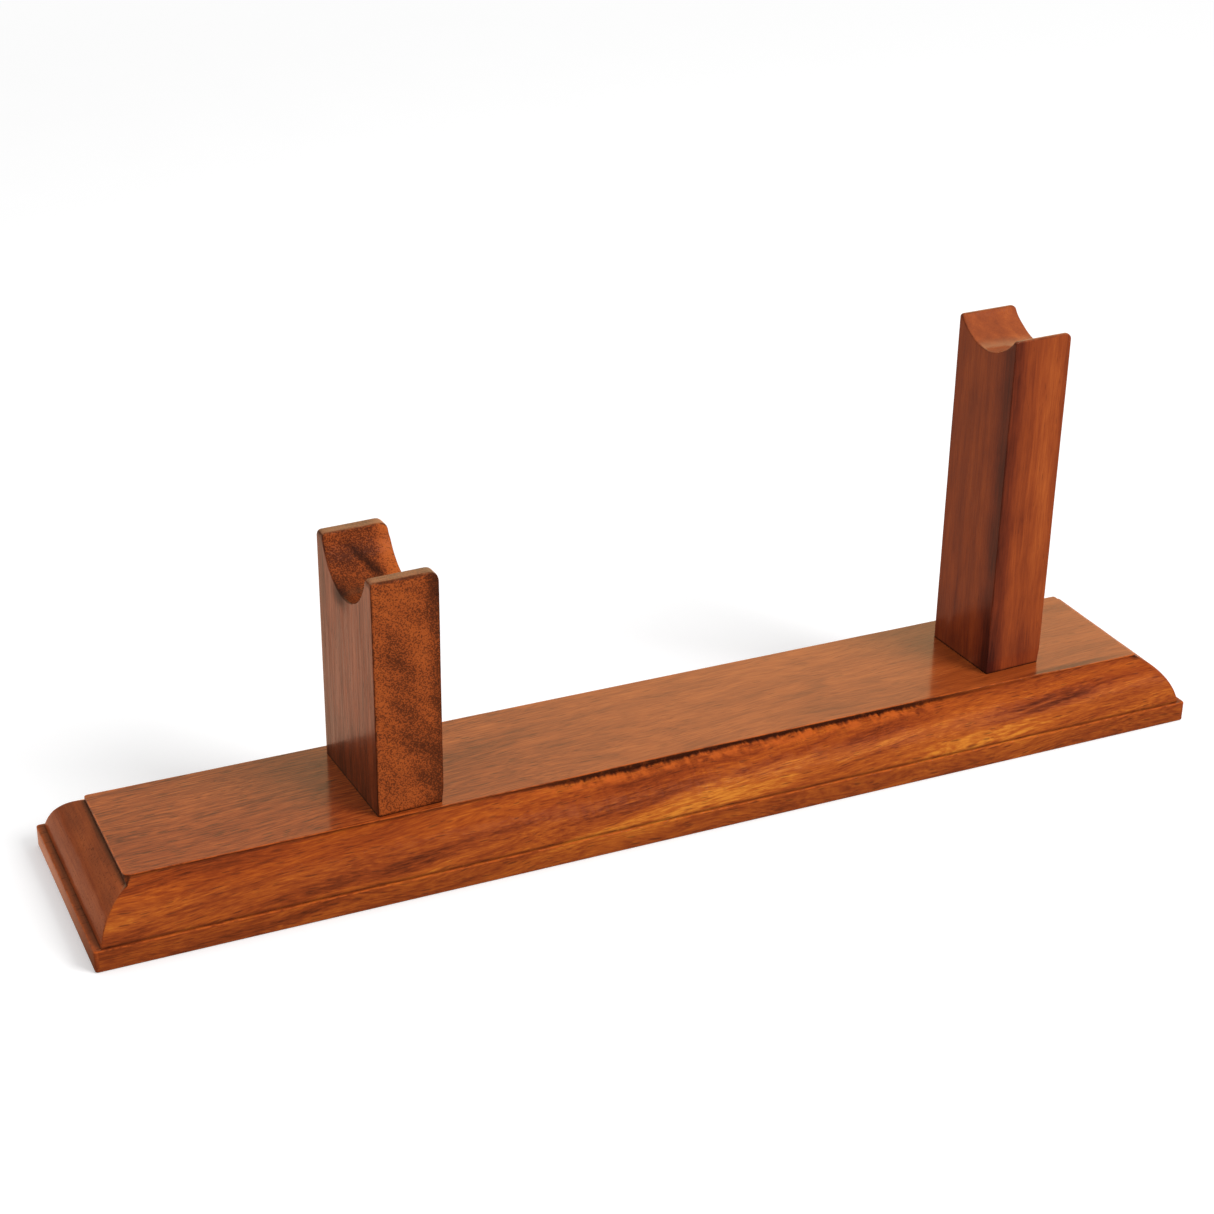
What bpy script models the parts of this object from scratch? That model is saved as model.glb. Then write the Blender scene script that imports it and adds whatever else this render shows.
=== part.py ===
"""Wooden cradle stand: a moulded plinth that carries a short and a tall post, each with a saddle on top.

Units are metres, +Z is up, and +X runs along the plinth towards the tall post. The origin is the centre of
the plinth's underside. Each post is held by two countersunk wood screws driven up through the plinth.
"""

import math
from types import SimpleNamespace

import bmesh
import bpy
from mathutils import Matrix, Vector

MM = 0.001

# Plinth
PLINTH_LENGTH = 330.0 * MM
PLINTH_DEPTH = 66.0 * MM
PLINTH_HEIGHT = 19.1 * MM
EDGE_HEIGHT = 6.2 * MM
EDGE_CHAMFER = 0.5 * MM
PLATEAU_INSET = 11.4 * MM
FRONT_STEP = 0.4 * MM
BACK_STEP = 1.6 * MM
LEFT_STEP = 1.6 * MM
RIGHT_STEP = 0.5 * MM
FRONT_LEDGE = 0.9 * MM
BACK_LEDGE = 1.2 * MM
END_LEDGE = 2.0 * MM
MOULDING_BULGE = 1.9 * MM
MOULDING_LEVELS = 14

# Posts: size along X, size along Y, height above the plateau and depth of the saddle
POST_WIDTH = 18.8 * MM
POST_TWIST = math.radians(2.7)
POST_SETBACK = -0.8 * MM
ARRIS_WIDTH = 0.6 * MM
SADDLE_RADIUS = 15.0 * MM
SADDLE_SEGMENTS = 20
SHORT_POST = SimpleNamespace(x=-76.9 * MM, depth=38.0 * MM, height=67.8 * MM, saddle=12.2 * MM)
TALL_POST = SimpleNamespace(x=114.1 * MM, depth=27.2 * MM, height=103.3 * MM, saddle=6.6 * MM)

# Wood screws, point up, with their heads sunk in the plinth's underside
HEAD_SUNK = 1.0 * MM
HEAD_RADIUS = 3.8 * MM
HEAD_RIM = 0.3 * MM
HEAD_CONE = 2.3 * MM
SHANK_RADIUS = 1.95 * MM
SHANK_LENGTH = 15.0 * MM
CORE_RADIUS = 1.45 * MM
THREAD_RADIUS = 2.05 * MM
THREAD_PITCH = 1.8 * MM
THREAD_TURNS = 8
POINT_LENGTH = 3.0 * MM
POINT_RADIUS = 0.15 * MM
RECESS_WING = 2.2 * MM
RECESS_SLOT = 0.5 * MM
RECESS_DEPTH = 1.9 * MM
RECESS_TAPER = 0.4
SCREW_SIDES = 16
SCREW_SPACING_RATIO = 0.46

# Fits
GAP = 0.3 * MM
HOLE_SIDES = 24
CUTTER_OVERRUN = 1.0 * MM
MERGE_DISTANCE = 0.001 * MM
ARRIS_ANGLE = math.radians(30)
SMOOTH_ANGLE = math.radians(35)


def clear_scene():
    for obj in list(bpy.data.objects):
        bpy.data.objects.remove(obj, do_unlink=True)


def material(name, colour, roughness, metallic=0.0):
    mat = bpy.data.materials.new(name)
    mat.use_nodes = True
    shader = mat.node_tree.nodes["Principled BSDF"]
    shader.inputs["Base Color"].default_value = (*colour, 1.0)
    shader.inputs["Roughness"].default_value = roughness
    shader.inputs["Metallic"].default_value = metallic
    return mat


def add_object(name, mesh, mat=None):
    obj = bpy.data.objects.new(name, mesh)
    bpy.context.scene.collection.objects.link(obj)
    if mat:
        mesh.materials.append(mat)
    return obj


def mesh_from(bm, name):
    """Close a bmesh's seams, point its faces outward and turn it into a mesh."""
    bmesh.ops.remove_doubles(bm, verts=bm.verts, dist=MERGE_DISTANCE)
    bmesh.ops.recalc_face_normals(bm, faces=bm.faces)
    mesh = bpy.data.meshes.new(name)
    bm.to_mesh(mesh)
    bm.free()
    return mesh


def loft(rings, name):
    """Join closed rings of equal length with quads and cap both ends."""
    bm = bmesh.new()
    loops = [[bm.verts.new(point) for point in ring] for ring in rings]
    for lower, upper in zip(loops, loops[1:]):
        for i in range(len(lower)):
            j = (i + 1) % len(lower)
            bm.faces.new((lower[i], lower[j], upper[j], upper[i]))
    bm.faces.new(loops[0][::-1])
    bm.faces.new(loops[-1])
    return mesh_from(bm, name)


def circle(radius, z, sides):
    return [
        (radius * math.cos(math.tau * i / sides), radius * math.sin(math.tau * i / sides), z)
        for i in range(sides)
    ]


def make_cutter(obj):
    obj.hide_render = True
    obj.display_type = "WIRE"
    return obj


def subtract(obj, cutter):
    modifier = obj.modifiers.new("cut_" + cutter.name, "BOOLEAN")
    modifier.operation = "DIFFERENCE"
    modifier.solver = "EXACT"
    modifier.object = cutter


# Plinth ---------------------------------------------------------------------------------------------------


class Moulding:
    """One side's convex moulding: a circular arc from the ledge up to the foot of the plateau's step."""

    def __init__(self, ledge, step):
        self.low = Vector((ledge, EDGE_HEIGHT))
        self.high = Vector((PLATEAU_INSET, PLINTH_HEIGHT - step))
        chord = self.high - self.low
        self.radius = (chord.length ** 2 / 4 + MOULDING_BULGE ** 2) / (2 * MOULDING_BULGE)
        inward = Vector((chord.y, -chord.x)).normalized()
        self.centre = (self.low + self.high) / 2 + inward * (self.radius - MOULDING_BULGE)

    def inset(self, z):
        """How far the surface lies inside the plinth's outline at height z."""
        if z >= self.high.y:
            return self.high.x
        return self.centre.x - math.sqrt(self.radius ** 2 - (z - self.centre.y) ** 2)


def rectangle(left, right, front, back, z):
    """A level ring, given how far each side lies inside the plinth's outline."""
    x = PLINTH_LENGTH / 2
    y = PLINTH_DEPTH / 2
    return [
        (left - x, front - y, z),
        (x - right, front - y, z),
        (x - right, y - back, z),
        (left - x, y - back, z),
    ]


def plinth_rings():
    left = Moulding(END_LEDGE, LEFT_STEP)
    right = Moulding(END_LEDGE, RIGHT_STEP)
    front = Moulding(FRONT_LEDGE, FRONT_STEP)
    back = Moulding(BACK_LEDGE, BACK_STEP)
    sides = (left, right, front, back)
    rings = [
        rectangle(EDGE_CHAMFER, EDGE_CHAMFER, EDGE_CHAMFER, EDGE_CHAMFER, 0.0),
        rectangle(0.0, 0.0, 0.0, 0.0, EDGE_CHAMFER),
        rectangle(0.0, 0.0, 0.0, 0.0, EDGE_HEIGHT),
    ]
    rise = PLINTH_HEIGHT - EDGE_HEIGHT
    levels = {EDGE_HEIGHT + rise * i / MOULDING_LEVELS for i in range(MOULDING_LEVELS + 1)}
    levels |= {side.high.y for side in sides}
    for z in sorted(levels):
        rings.append(rectangle(*(side.inset(z) for side in sides), z))
    return rings


def screw_hole_rings():
    """Countersink and clearance bore from below, running on upwards past the plateau."""
    sink = HEAD_SUNK - GAP
    cone_top = HEAD_SUNK + HEAD_RIM + HEAD_CONE
    return [
        circle(HEAD_RADIUS + GAP, -CUTTER_OVERRUN, HOLE_SIDES),
        circle(HEAD_RADIUS + GAP, sink + HEAD_RIM + GAP, HOLE_SIDES),
        circle(SHANK_RADIUS + GAP, cone_top, HOLE_SIDES),
        circle(SHANK_RADIUS + GAP, PLINTH_HEIGHT + CUTTER_OVERRUN, HOLE_SIDES),
    ]


def build_plinth(places):
    mat = material("plinth_wood", (0.33, 0.105, 0.032), 0.32)
    plinth = add_object("plinth", loft(plinth_rings(), "plinth"), mat)
    hole = loft(screw_hole_rings(), "plinth_hole_cutter")
    for name, place in places.items():
        cutter = make_cutter(add_object(name + "_plinth_hole", hole))
        cutter.location = place
        subtract(plinth, cutter)


# Posts ----------------------------------------------------------------------------------------------------


def saddle_arc(post):
    """Points of the saddle's arc in the post's YZ plane, from the front prong to the rear one."""
    centre_z = post.height - post.saddle + SADDLE_RADIUS
    half_chord = math.sqrt(SADDLE_RADIUS ** 2 - (centre_z - post.height) ** 2)
    reach = math.atan2(half_chord, centre_z - post.height)
    points = []
    for i in range(SADDLE_SEGMENTS + 1):
        angle = reach * (2 * i / SADDLE_SEGMENTS - 1)
        points.append((SADDLE_RADIUS * math.sin(angle), centre_z - SADDLE_RADIUS * math.cos(angle)))
    return points


def post_outline(post):
    """The post seen along X, with its foot just clear of the plateau."""
    half = post.depth / 2
    corners = [(half, post.height), (half, GAP), (-half, GAP), (-half, post.height)]
    return corners + saddle_arc(post)


def post_rings(post):
    return [[(x, y, z) for y, z in post_outline(post)] for x in (-POST_WIDTH / 2, POST_WIDTH / 2)]


def pilot_hole_rings():
    """Blind bore that opens at the post's foot and clears the thread and the point."""
    thread_top = HEAD_SUNK + HEAD_RIM + HEAD_CONE + SHANK_LENGTH + THREAD_PITCH * THREAD_TURNS
    top = thread_top + POINT_LENGTH - PLINTH_HEIGHT
    return [
        circle(THREAD_RADIUS + GAP, -CUTTER_OVERRUN, HOLE_SIDES),
        circle(THREAD_RADIUS + GAP, thread_top - PLINTH_HEIGHT, HOLE_SIDES),
        circle(POINT_RADIUS + 2 * GAP, top + GAP, HOLE_SIDES),
    ]


def add_arris(obj):
    bevel = obj.modifiers.new("arris", "BEVEL")
    bevel.width = ARRIS_WIDTH
    bevel.segments = 2
    bevel.limit_method = "ANGLE"
    bevel.angle_limit = ARRIS_ANGLE


def post_frame(post):
    """Place of a post's foot on the plateau, turned by the drag of its screws."""
    return Matrix.Translation((post.x, POST_SETBACK, PLINTH_HEIGHT)) @ Matrix.Rotation(POST_TWIST, 4, "Z")


def screw_offsets(post):
    spacing = post.depth * SCREW_SPACING_RATIO
    return {"front": -spacing / 2, "rear": spacing / 2}


def build_post(name, post, colour):
    mat = material(name + "_wood", colour, 0.34)
    obj = add_object(name, loft(post_rings(post), name), mat)
    obj.matrix_world = post_frame(post)
    add_arris(obj)
    hole = loft(pilot_hole_rings(), name + "_pilot_cutter")
    for side, offset in screw_offsets(post).items():
        cutter = make_cutter(add_object(f"{name}_{side}_pilot", hole))
        cutter.matrix_world = post_frame(post) @ Matrix.Translation((0.0, offset, 0.0))
        subtract(obj, cutter)


# Screws ---------------------------------------------------------------------------------------------------


def ring_faces(bm, lower, upper):
    for i in range(len(lower)):
        j = (i + 1) % len(lower)
        bm.faces.new((lower[i], lower[j], upper[j], upper[i]))


def helix_row(row, start, end):
    """One row of the thread, rising by a pitch per turn. Even rows are roots and odd rows are crests."""
    points = []
    for i in range(SCREW_SIDES):
        z = start + THREAD_PITCH * (row / 2 + i / SCREW_SIDES)
        z = min(max(z, start), end)
        fade = min(1.0, (z - start) / THREAD_PITCH, (end - z) / THREAD_PITCH)
        radius = CORE_RADIUS + (THREAD_RADIUS - CORE_RADIUS) * fade * (row % 2)
        angle = math.tau * i / SCREW_SIDES
        points.append((radius * math.cos(angle), radius * math.sin(angle), z))
    return points


def add_thread(bm, start, end):
    """A tube whose rows climb like a helix: each row's last side meets the row a pitch above its first.

    The rows past either end are flattened onto the end rings, where mesh_from merges them.
    """
    rows = range(-2, 2 * THREAD_TURNS + 4)
    grid = {row: [bm.verts.new(point) for point in helix_row(row, start, end)] for row in rows}
    for row in rows[:-3]:
        low, high = grid[row], grid[row + 1]
        for i in range(SCREW_SIDES - 1):
            bm.faces.new((low[i], low[i + 1], high[i + 1], high[i]))
        bm.faces.new((low[-1], grid[row + 2][0], grid[row + 3][0], high[-1]))


def screw_blank():
    """A screw before its drive recess is cut: head down at z = 0, point up."""
    shank_start = HEAD_RIM + HEAD_CONE
    thread_start = shank_start + SHANK_LENGTH
    thread_end = thread_start + THREAD_PITCH * THREAD_TURNS
    bm = bmesh.new()
    outline = [
        (HEAD_RADIUS, 0.0),
        (HEAD_RADIUS, HEAD_RIM),
        (SHANK_RADIUS, shank_start),
        (SHANK_RADIUS, thread_start - SHANK_RADIUS + CORE_RADIUS),
        (CORE_RADIUS, thread_start),
    ]
    rings = [[bm.verts.new(p) for p in circle(r, z, SCREW_SIDES)] for r, z in outline]
    for lower, upper in zip(rings, rings[1:]):
        ring_faces(bm, lower, upper)
    bm.faces.new(rings[0][::-1])
    add_thread(bm, thread_start, thread_end)
    base = [bm.verts.new(p) for p in circle(CORE_RADIUS, thread_end, SCREW_SIDES)]
    tip = [bm.verts.new(p) for p in circle(POINT_RADIUS, thread_end + POINT_LENGTH, SCREW_SIDES)]
    ring_faces(bm, base, tip)
    bm.faces.new(tip)
    return mesh_from(bm, "screw_blank")


def recess_wing(turn):
    """One tapered wing of the cross recess, opening at the head's face."""
    cutter_rings = []
    for z, share in ((-CUTTER_OVERRUN, 1.0), (0.0, 1.0), (RECESS_DEPTH, RECESS_TAPER)):
        long, wide = RECESS_WING * share, RECESS_SLOT * share
        cutter_rings.append([(-long, -wide, z), (long, -wide, z), (long, wide, z), (-long, wide, z)])
    cutter = make_cutter(add_object(f"recess_wing_{turn}", loft(cutter_rings, "recess_wing")))
    cutter.rotation_euler.z = math.radians(turn)
    return cutter


def screw_mesh():
    """The screw with its cross recess, as a mesh that all four screws share."""
    blank = add_object("screw_blank", screw_blank())
    wings = [recess_wing(turn) for turn in (0, 90)]
    for wing in wings:
        subtract(blank, wing)
    depsgraph = bpy.context.evaluated_depsgraph_get()
    mesh = bpy.data.meshes.new_from_object(blank.evaluated_get(depsgraph))
    for obj in (blank, *wings):
        bpy.data.objects.remove(obj, do_unlink=True)
    mesh.shade_smooth()
    mesh.set_sharp_from_angle(angle=SMOOTH_ANGLE)
    return mesh


def screw_places(posts):
    """World place of each screw's axis on the plinth's underside."""
    places = {}
    for name, post in posts.items():
        for side, offset in screw_offsets(post).items():
            foot = post_frame(post) @ Vector((0.0, offset, -PLINTH_HEIGHT))
            places[f"{name}_{side}_screw"] = foot
    return places


def build_screws(places):
    steel = material("zinc_plated_steel", (0.55, 0.54, 0.5), 0.3, 1.0)
    mesh = screw_mesh()
    mesh.materials.append(steel)
    for name, place in places.items():
        screw = add_object(name, mesh)
        screw.location = place + Vector((0.0, 0.0, HEAD_SUNK))


def main():
    clear_scene()
    posts = {"short_post": SHORT_POST, "tall_post": TALL_POST}
    places = screw_places(posts)
    build_plinth(places)
    build_post("short_post", SHORT_POST, (0.30, 0.088, 0.028))
    build_post("tall_post", TALL_POST, (0.31, 0.082, 0.028))
    build_screws(places)


main()
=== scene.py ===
"""Looks for the wooden cradle stand: moulded plinth, short and tall posts with saddles, and wood screws."""

import math
from types import SimpleNamespace

import bpy
import numpy as np
from mathutils import Matrix, Vector, geometry, noise


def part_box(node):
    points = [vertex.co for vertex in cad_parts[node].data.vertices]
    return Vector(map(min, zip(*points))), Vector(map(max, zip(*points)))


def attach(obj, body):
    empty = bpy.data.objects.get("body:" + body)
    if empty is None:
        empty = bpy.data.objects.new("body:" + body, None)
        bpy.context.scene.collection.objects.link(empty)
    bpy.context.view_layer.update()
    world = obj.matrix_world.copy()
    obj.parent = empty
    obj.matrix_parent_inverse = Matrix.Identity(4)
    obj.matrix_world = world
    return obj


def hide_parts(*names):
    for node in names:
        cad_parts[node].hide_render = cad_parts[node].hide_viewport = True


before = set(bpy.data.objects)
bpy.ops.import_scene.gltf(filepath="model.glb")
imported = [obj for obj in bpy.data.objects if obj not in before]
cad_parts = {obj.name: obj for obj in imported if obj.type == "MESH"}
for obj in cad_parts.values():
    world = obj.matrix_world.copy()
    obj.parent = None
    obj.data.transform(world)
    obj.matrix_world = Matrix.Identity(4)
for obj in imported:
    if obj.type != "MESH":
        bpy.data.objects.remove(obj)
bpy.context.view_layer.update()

MM = 0.001

# ---------------------------------------------------------------- sizes, from the frame and the joinery

PLINTH_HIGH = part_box("plinth")[1]
HALF_X = PLINTH_HIGH.x
HALF_Y = PLINTH_HIGH.y
TOP = PLINTH_HIGH.z
POST_WIDTH = 18.8 * MM
POST_TWIST = math.radians(2.7)

EDGE_HEIGHT = 6.2 * MM
BOTTOM_ARRIS = 0.45 * MM
EDGE_ARRIS = 0.4 * MM
PLATEAU_ARRIS = 0.22 * MM
CAP_MARGIN = 0.3 * MM
FRONT_STEP = 0.35 * MM
DEEP_STEP = 1.6 * MM
LEDGE_BAND = 0.9 * MM
SHARP_ANGLE = math.radians(32)
SIDES = {
    "front": SimpleNamespace(ledge=0.9 * MM, step=FRONT_STEP, inset=11.4 * MM, bulge=1.9 * MM),
    "right": SimpleNamespace(ledge=1.8 * MM, step=0.5 * MM, inset=11.2 * MM, bulge=2.05 * MM),
    "back": SimpleNamespace(ledge=1.2 * MM, step=DEEP_STEP, inset=11.4 * MM, bulge=1.9 * MM),
    "left": SimpleNamespace(ledge=2.0 * MM, step=DEEP_STEP, inset=11.4 * MM, bulge=1.9 * MM),
}


# ---------------------------------------------------------------- small helpers


def lerp(a, b, t):
    return a + (b - a) * t


def smooth(low, high, x):
    """0 below low, 1 above high, and an eased ramp between them."""
    t = min(max((x - low) / (high - low), 0.0), 1.0)
    return t * t * (3 - 2 * t)


def rough(seed, *coords):
    """Repeatable noise from about -1 to 1 for coordinates in any unit."""
    x, y, z = (tuple(coords) + (0.0, 0.0, 0.0))[:3]
    return noise.noise(Vector((x + 17.3 * seed, y - 5.1 * seed, z + 9.7 * seed))) * 1.6


def add_mesh(name, verts, faces, attributes=None):
    mesh = bpy.data.meshes.new(name)
    mesh.from_pydata([tuple(v) for v in verts], [], faces)
    for key, values in (attributes or {}).items():
        layer = mesh.attributes.new(key, "FLOAT", "POINT")
        layer.data.foreach_set("value", np.asarray(values, np.float32))
    mesh.validate()
    mesh.shade_smooth()
    mesh.set_sharp_from_angle(angle=SHARP_ANGLE)
    obj = bpy.data.objects.new(name, mesh)
    bpy.context.scene.collection.objects.link(obj)
    return obj


# ---------------------------------------------------------------- plinth


class Moulding:
    """One side's convex moulding: a circular arc from the ledge up to the foot of the plateau's step."""

    def __init__(self, side, step, recess):
        self.low = Vector((side.ledge, EDGE_HEIGHT))
        self.high = Vector((side.inset + recess, TOP - step))
        chord = self.high - self.low
        self.radius = (chord.length ** 2 / 4 + side.bulge ** 2) / (2 * side.bulge)
        inward = Vector((chord.y, -chord.x)).normalized()
        self.centre = (self.low + self.high) / 2 + inward * (self.radius - side.bulge)

    def inset(self, z):
        """How far the surface lies inside the plinth's outline at height z."""
        if z >= self.high.y:
            return self.high.x
        return self.centre.x - math.sqrt(self.radius ** 2 - (z - self.centre.y) ** 2)


# Each pair is a stretch of x over which something on the front side comes in or dies away
BITTEN_IN = (-52 * MM, -22 * MM)
BITTEN_OUT = (70 * MM, 98 * MM)
DEEPER_IN = (-60 * MM, -18 * MM)
DEEPER_OUT = (104 * MM, 138 * MM)
RECESS_IN = (-45 * MM, 0)
RECESS_OUT = (112 * MM, 140 * MM)
STAIN_FADE = (84 * MM, 112 * MM)
BITE_PLACE = -14 * MM
BITE_WIDTH = 16 * MM
RECESS_DEPTH = 0.55 * MM

# In millimetres: how much the front step deepens, the depth and the wavelength of the cutter's chatter, and
# the reach, the raggedness and the wavelength of the stain below the step
DEEPER = 0.50
BITE_DEPTH = 0.45
CHATTER = (0.22, 1.1)
FINE_CHATTER = (0.12, 0.45)
LEAST_REACH = 0.22
MIDDLE_RAG = 0.12
FINE_RAG = (0.22, 0.7)
COARSE_RAG = (0.22, 4.0)


def wavy(seed, x, size):
    """Noise along the front: size is its depth and its wavelength, in millimetres."""
    return size[0] * rough(seed, x / MM / size[1])


def bitten(x):
    """1 along the middle of the front, where the cutter bit deeper and tore the step's edge."""
    return smooth(*BITTEN_IN, x) * (1 - smooth(*BITTEN_OUT, x))


def front_step(x):
    """Height of the step at the top of the front moulding."""
    deep = smooth(*DEEPER_IN, x) * (1 - smooth(*DEEPER_OUT, x))
    bite = math.exp(-(((x - BITE_PLACE) / BITE_WIDTH) ** 2))
    chatter = wavy(1, x, CHATTER) + wavy(2, x, FINE_CHATTER)
    return FRONT_STEP + (DEEPER * deep + BITE_DEPTH * bite + chatter * bitten(x)) * MM


def stain_reach(x):
    """How far the dark staining of the front step runs down the moulding."""
    ragged = MIDDLE_RAG + wavy(6, x, FINE_RAG) + wavy(7, x, COARSE_RAG)
    return (LEAST_REACH + max(ragged, 0.0) * bitten(x)) * MM


def stain_strength(x):
    """The front step's staining is black where the cutter bit, and fades out towards the right end."""
    return lerp(0.7, 1.0, bitten(x)) * (1 - 0.75 * smooth(*STAIN_FADE, x))


def front_recess(x):
    """How far the plateau's front edge is drawn back in the middle."""
    return RECESS_DEPTH * smooth(*RECESS_IN, x) * (1 - smooth(*RECESS_OUT, x))


def plinth_levels():
    """The plinth's section from the underside to the plateau, as (part, value) pairs."""
    levels = [("underside", 0.0)]
    levels += [("bottom", math.radians(a)) for a in (0, 30, 60, 90)]
    levels += [("face", lerp(BOTTOM_ARRIS, EDGE_HEIGHT - EDGE_ARRIS, t)) for t in (0.3, 0.6)]
    levels += [("lip", math.radians(a)) for a in (0, 30, 60, 90)]
    levels += [("ledge", t) for t in (0.4, 0.8)]
    heights = [lerp(EDGE_HEIGHT, EDGE_HEIGHT + LEDGE_BAND, t) for t in (0.0, 0.3, 0.6)]
    heights += [lerp(EDGE_HEIGHT + LEDGE_BAND, TOP - DEEP_STEP, t) for t in np.linspace(0, 1, 23)]
    heights += [lerp(TOP - DEEP_STEP, TOP - FRONT_STEP, t) for t in (0.25, 0.5, 0.75, 0.88, 1.0)]
    levels += [("curve", z) for z in heights]
    levels += [("crown", math.radians(a)) for a in (90, 60, 30, 0)]
    return levels + [("plateau", 0.0)]


PLAIN_STAIN = 0.9
PLAIN_REACH = 0.4 * MM
# Painted shade along the ledge and in the moulding's concave foot just above it
LEDGE_SHADE = 0.55
FOOT_SHADE = 0.6
FOOT_FADE = (EDGE_HEIGHT + 0.15 * MM, EDGE_HEIGHT + 0.7 * MM)
# Painted highlight on the plinth's arrises: its strength on the bottom arris, and its fade below the front
# step
BOTTOM_HIGHLIGHT = 0.5
HIGHLIGHT_FADE = (1.0 * MM, 2.0 * MM)


def section_point(name, part, value, x):
    """Inset, height, darkening and tint of one level on one side: (inset, z, step staining and painted
    crease shade, painted highlight).
    """
    side = SIDES[name]
    front = name == "front"
    recess = front_recess(x) if front else 0.0
    step = front_step(x) if front else side.step
    strength = stain_strength(x) if front else PLAIN_STAIN
    if part == "underside":
        return BOTTOM_ARRIS + CAP_MARGIN, 0.0, 0.0, 0.0
    if part == "bottom":
        # Painted highlight along the bottom arris
        rub = BOTTOM_HIGHLIGHT * math.sin(2 * value)
        return BOTTOM_ARRIS * (1 - math.sin(value)), BOTTOM_ARRIS * (1 - math.cos(value)), 0.0, rub
    if part == "face":
        return 0.0, value, 0.0, 0.0
    if part == "lip":
        drop = EDGE_ARRIS * (1 - math.sin(value))
        # Painted highlight along the lip's rounding
        return EDGE_ARRIS * (1 - math.cos(value)), EDGE_HEIGHT - drop, 0.0, math.sin(2 * value)
    if part == "ledge":
        # Painted shade on the ledge, darkest where it meets the moulding's foot
        return lerp(EDGE_ARRIS, side.ledge, value), EDGE_HEIGHT, LEDGE_SHADE * value, 0.0
    if part == "crown":
        drawn = PLATEAU_ARRIS * (1 - math.sin(value))
        height = TOP - PLATEAU_ARRIS * (1 - math.cos(value))
        # Staining on the crown's step side, and a painted highlight towards the plateau
        return side.inset + recess + drawn, height, strength * math.sin(value) ** 2, math.cos(value)
    if part == "plateau":
        return side.inset + recess + PLATEAU_ARRIS + CAP_MARGIN, TOP, 0.0, 0.0
    share = (value - EDGE_HEIGHT) / (TOP - FRONT_STEP - EDGE_HEIGHT)
    z = lerp(EDGE_HEIGHT, TOP - step, share) if front else value
    # Painted shade in the moulding's concave foot; further up, the step's staining
    foot = FOOT_SHADE * (1 - smooth(*FOOT_FADE, z))
    reach = stain_reach(x) if front else PLAIN_REACH
    below = TOP - step - z
    depth = below / reach
    # Painted highlight: a bright band just below the front step's staining, where the cutter bit
    rub = bitten(x) * smooth(1.0, 1.5, depth) * (1 - smooth(*HIGHLIGHT_FADE, below)) if front else 0.0
    stain_and_shade = strength * (1 - smooth(0.4, 1.1, depth))
    return Moulding(side, step, recess).inset(z), z, max(foot, stain_and_shade), rub


EDGE_CORNER = 0.7 * MM
MOULDING_CORNER = 0.4 * MM
PLATEAU_CORNER = 0.8 * MM
WORN_CORNER = 1.9 * MM


def corner_radius(name, part, value):
    """Plan radius of a corner at one level: the plateau's front left corner has the most wear."""
    if part in ("underside", "bottom", "face", "lip", "ledge"):
        return EDGE_CORNER
    if part == "curve" and value < TOP - DEEP_STEP:
        return MOULDING_CORNER
    share = smooth(TOP - DEEP_STEP, TOP - FRONT_STEP, value) if part == "curve" else 1.0
    top = WORN_CORNER if name == "front_left" else PLATEAU_CORNER
    return lerp(MOULDING_CORNER, top, share)


BACK_STATIONS = 90
END_STATIONS = 36
CORNER_STATIONS = 5
PLAIN_SPACING = 1.6 * MM
RAGGED_SPACING = 0.42 * MM
RAGGED_START = -42 * MM
RAGGED_END = 94 * MM


def stations(side):
    """Shares of a side's length: closer together along the ragged part of the front."""
    if side == "back":
        return [i / BACK_STATIONS for i in range(BACK_STATIONS)]
    if side in ("left", "right"):
        return [i / END_STATIONS for i in range(END_STATIONS)]
    places = list(np.arange(-HALF_X, RAGGED_START, PLAIN_SPACING))
    places += list(np.arange(RAGGED_START, RAGGED_END, RAGGED_SPACING))
    places += list(np.arange(RAGGED_END, HALF_X - PLAIN_SPACING / 2, PLAIN_SPACING))
    return [(x + HALF_X) / (2 * HALF_X) for x in places]


def straight(side, part, value, start, end):
    """Points, darkening and tint along one side between its corner arcs, without the last."""
    points = []
    for t in stations(side):
        along = lerp(start, end, t)
        inset, z, stain_and_shade, rub = section_point(side, part, value, along if side == "front" else 0.0)
        if side == "front":
            points.append((along, inset - HALF_Y, z, stain_and_shade, rub))
        elif side == "back":
            points.append((along, HALF_Y - inset, z, stain_and_shade, rub))
        elif side == "right":
            points.append((HALF_X - inset, along, z, stain_and_shade, rub))
        else:
            points.append((inset - HALF_X, along, z, stain_and_shade, rub))
    return points


def corner(centre, radius, start, *rest):
    """Points of a corner's quarter circle, without the last. The rest are height, darkening and tint."""
    points = []
    for i in range(CORNER_STATIONS):
        angle = start + math.pi / 2 * i / CORNER_STATIONS
        points.append((centre[0] + radius * math.cos(angle), centre[1] + radius * math.sin(angle), *rest))
    return points


def plinth_ring(part, value):
    """One closed ring round the plinth, anticlockwise from the front's left end."""
    level = {side: section_point(side, part, value, -HALF_X) for side in SIDES}
    left = level["left"][0] - HALF_X
    right = HALF_X - level["right"][0]
    front = level["front"][0] - HALF_Y
    back = HALF_Y - level["back"][0]
    fl = corner_radius("front_left", part, value)
    fr = corner_radius("front_right", part, value)
    br = corner_radius("back_right", part, value)
    bl = corner_radius("back_left", part, value)
    ring = straight("front", part, value, left + fl, right - fr)
    ring += corner((right - fr, front + fr), fr, -math.pi / 2, *level["right"][1:])
    ring += straight("right", part, value, front + fr, back - br)
    ring += corner((right - br, back - br), br, 0.0, *level["back"][1:])
    ring += straight("back", part, value, right - br, left + bl)
    ring += corner((left + bl, back - bl), bl, math.pi / 2, *level["left"][1:])
    ring += straight("left", part, value, back - bl, front + fl)
    ring += corner((left + fl, front + fl), fl, math.pi, *level["left"][1:])
    return ring


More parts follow.
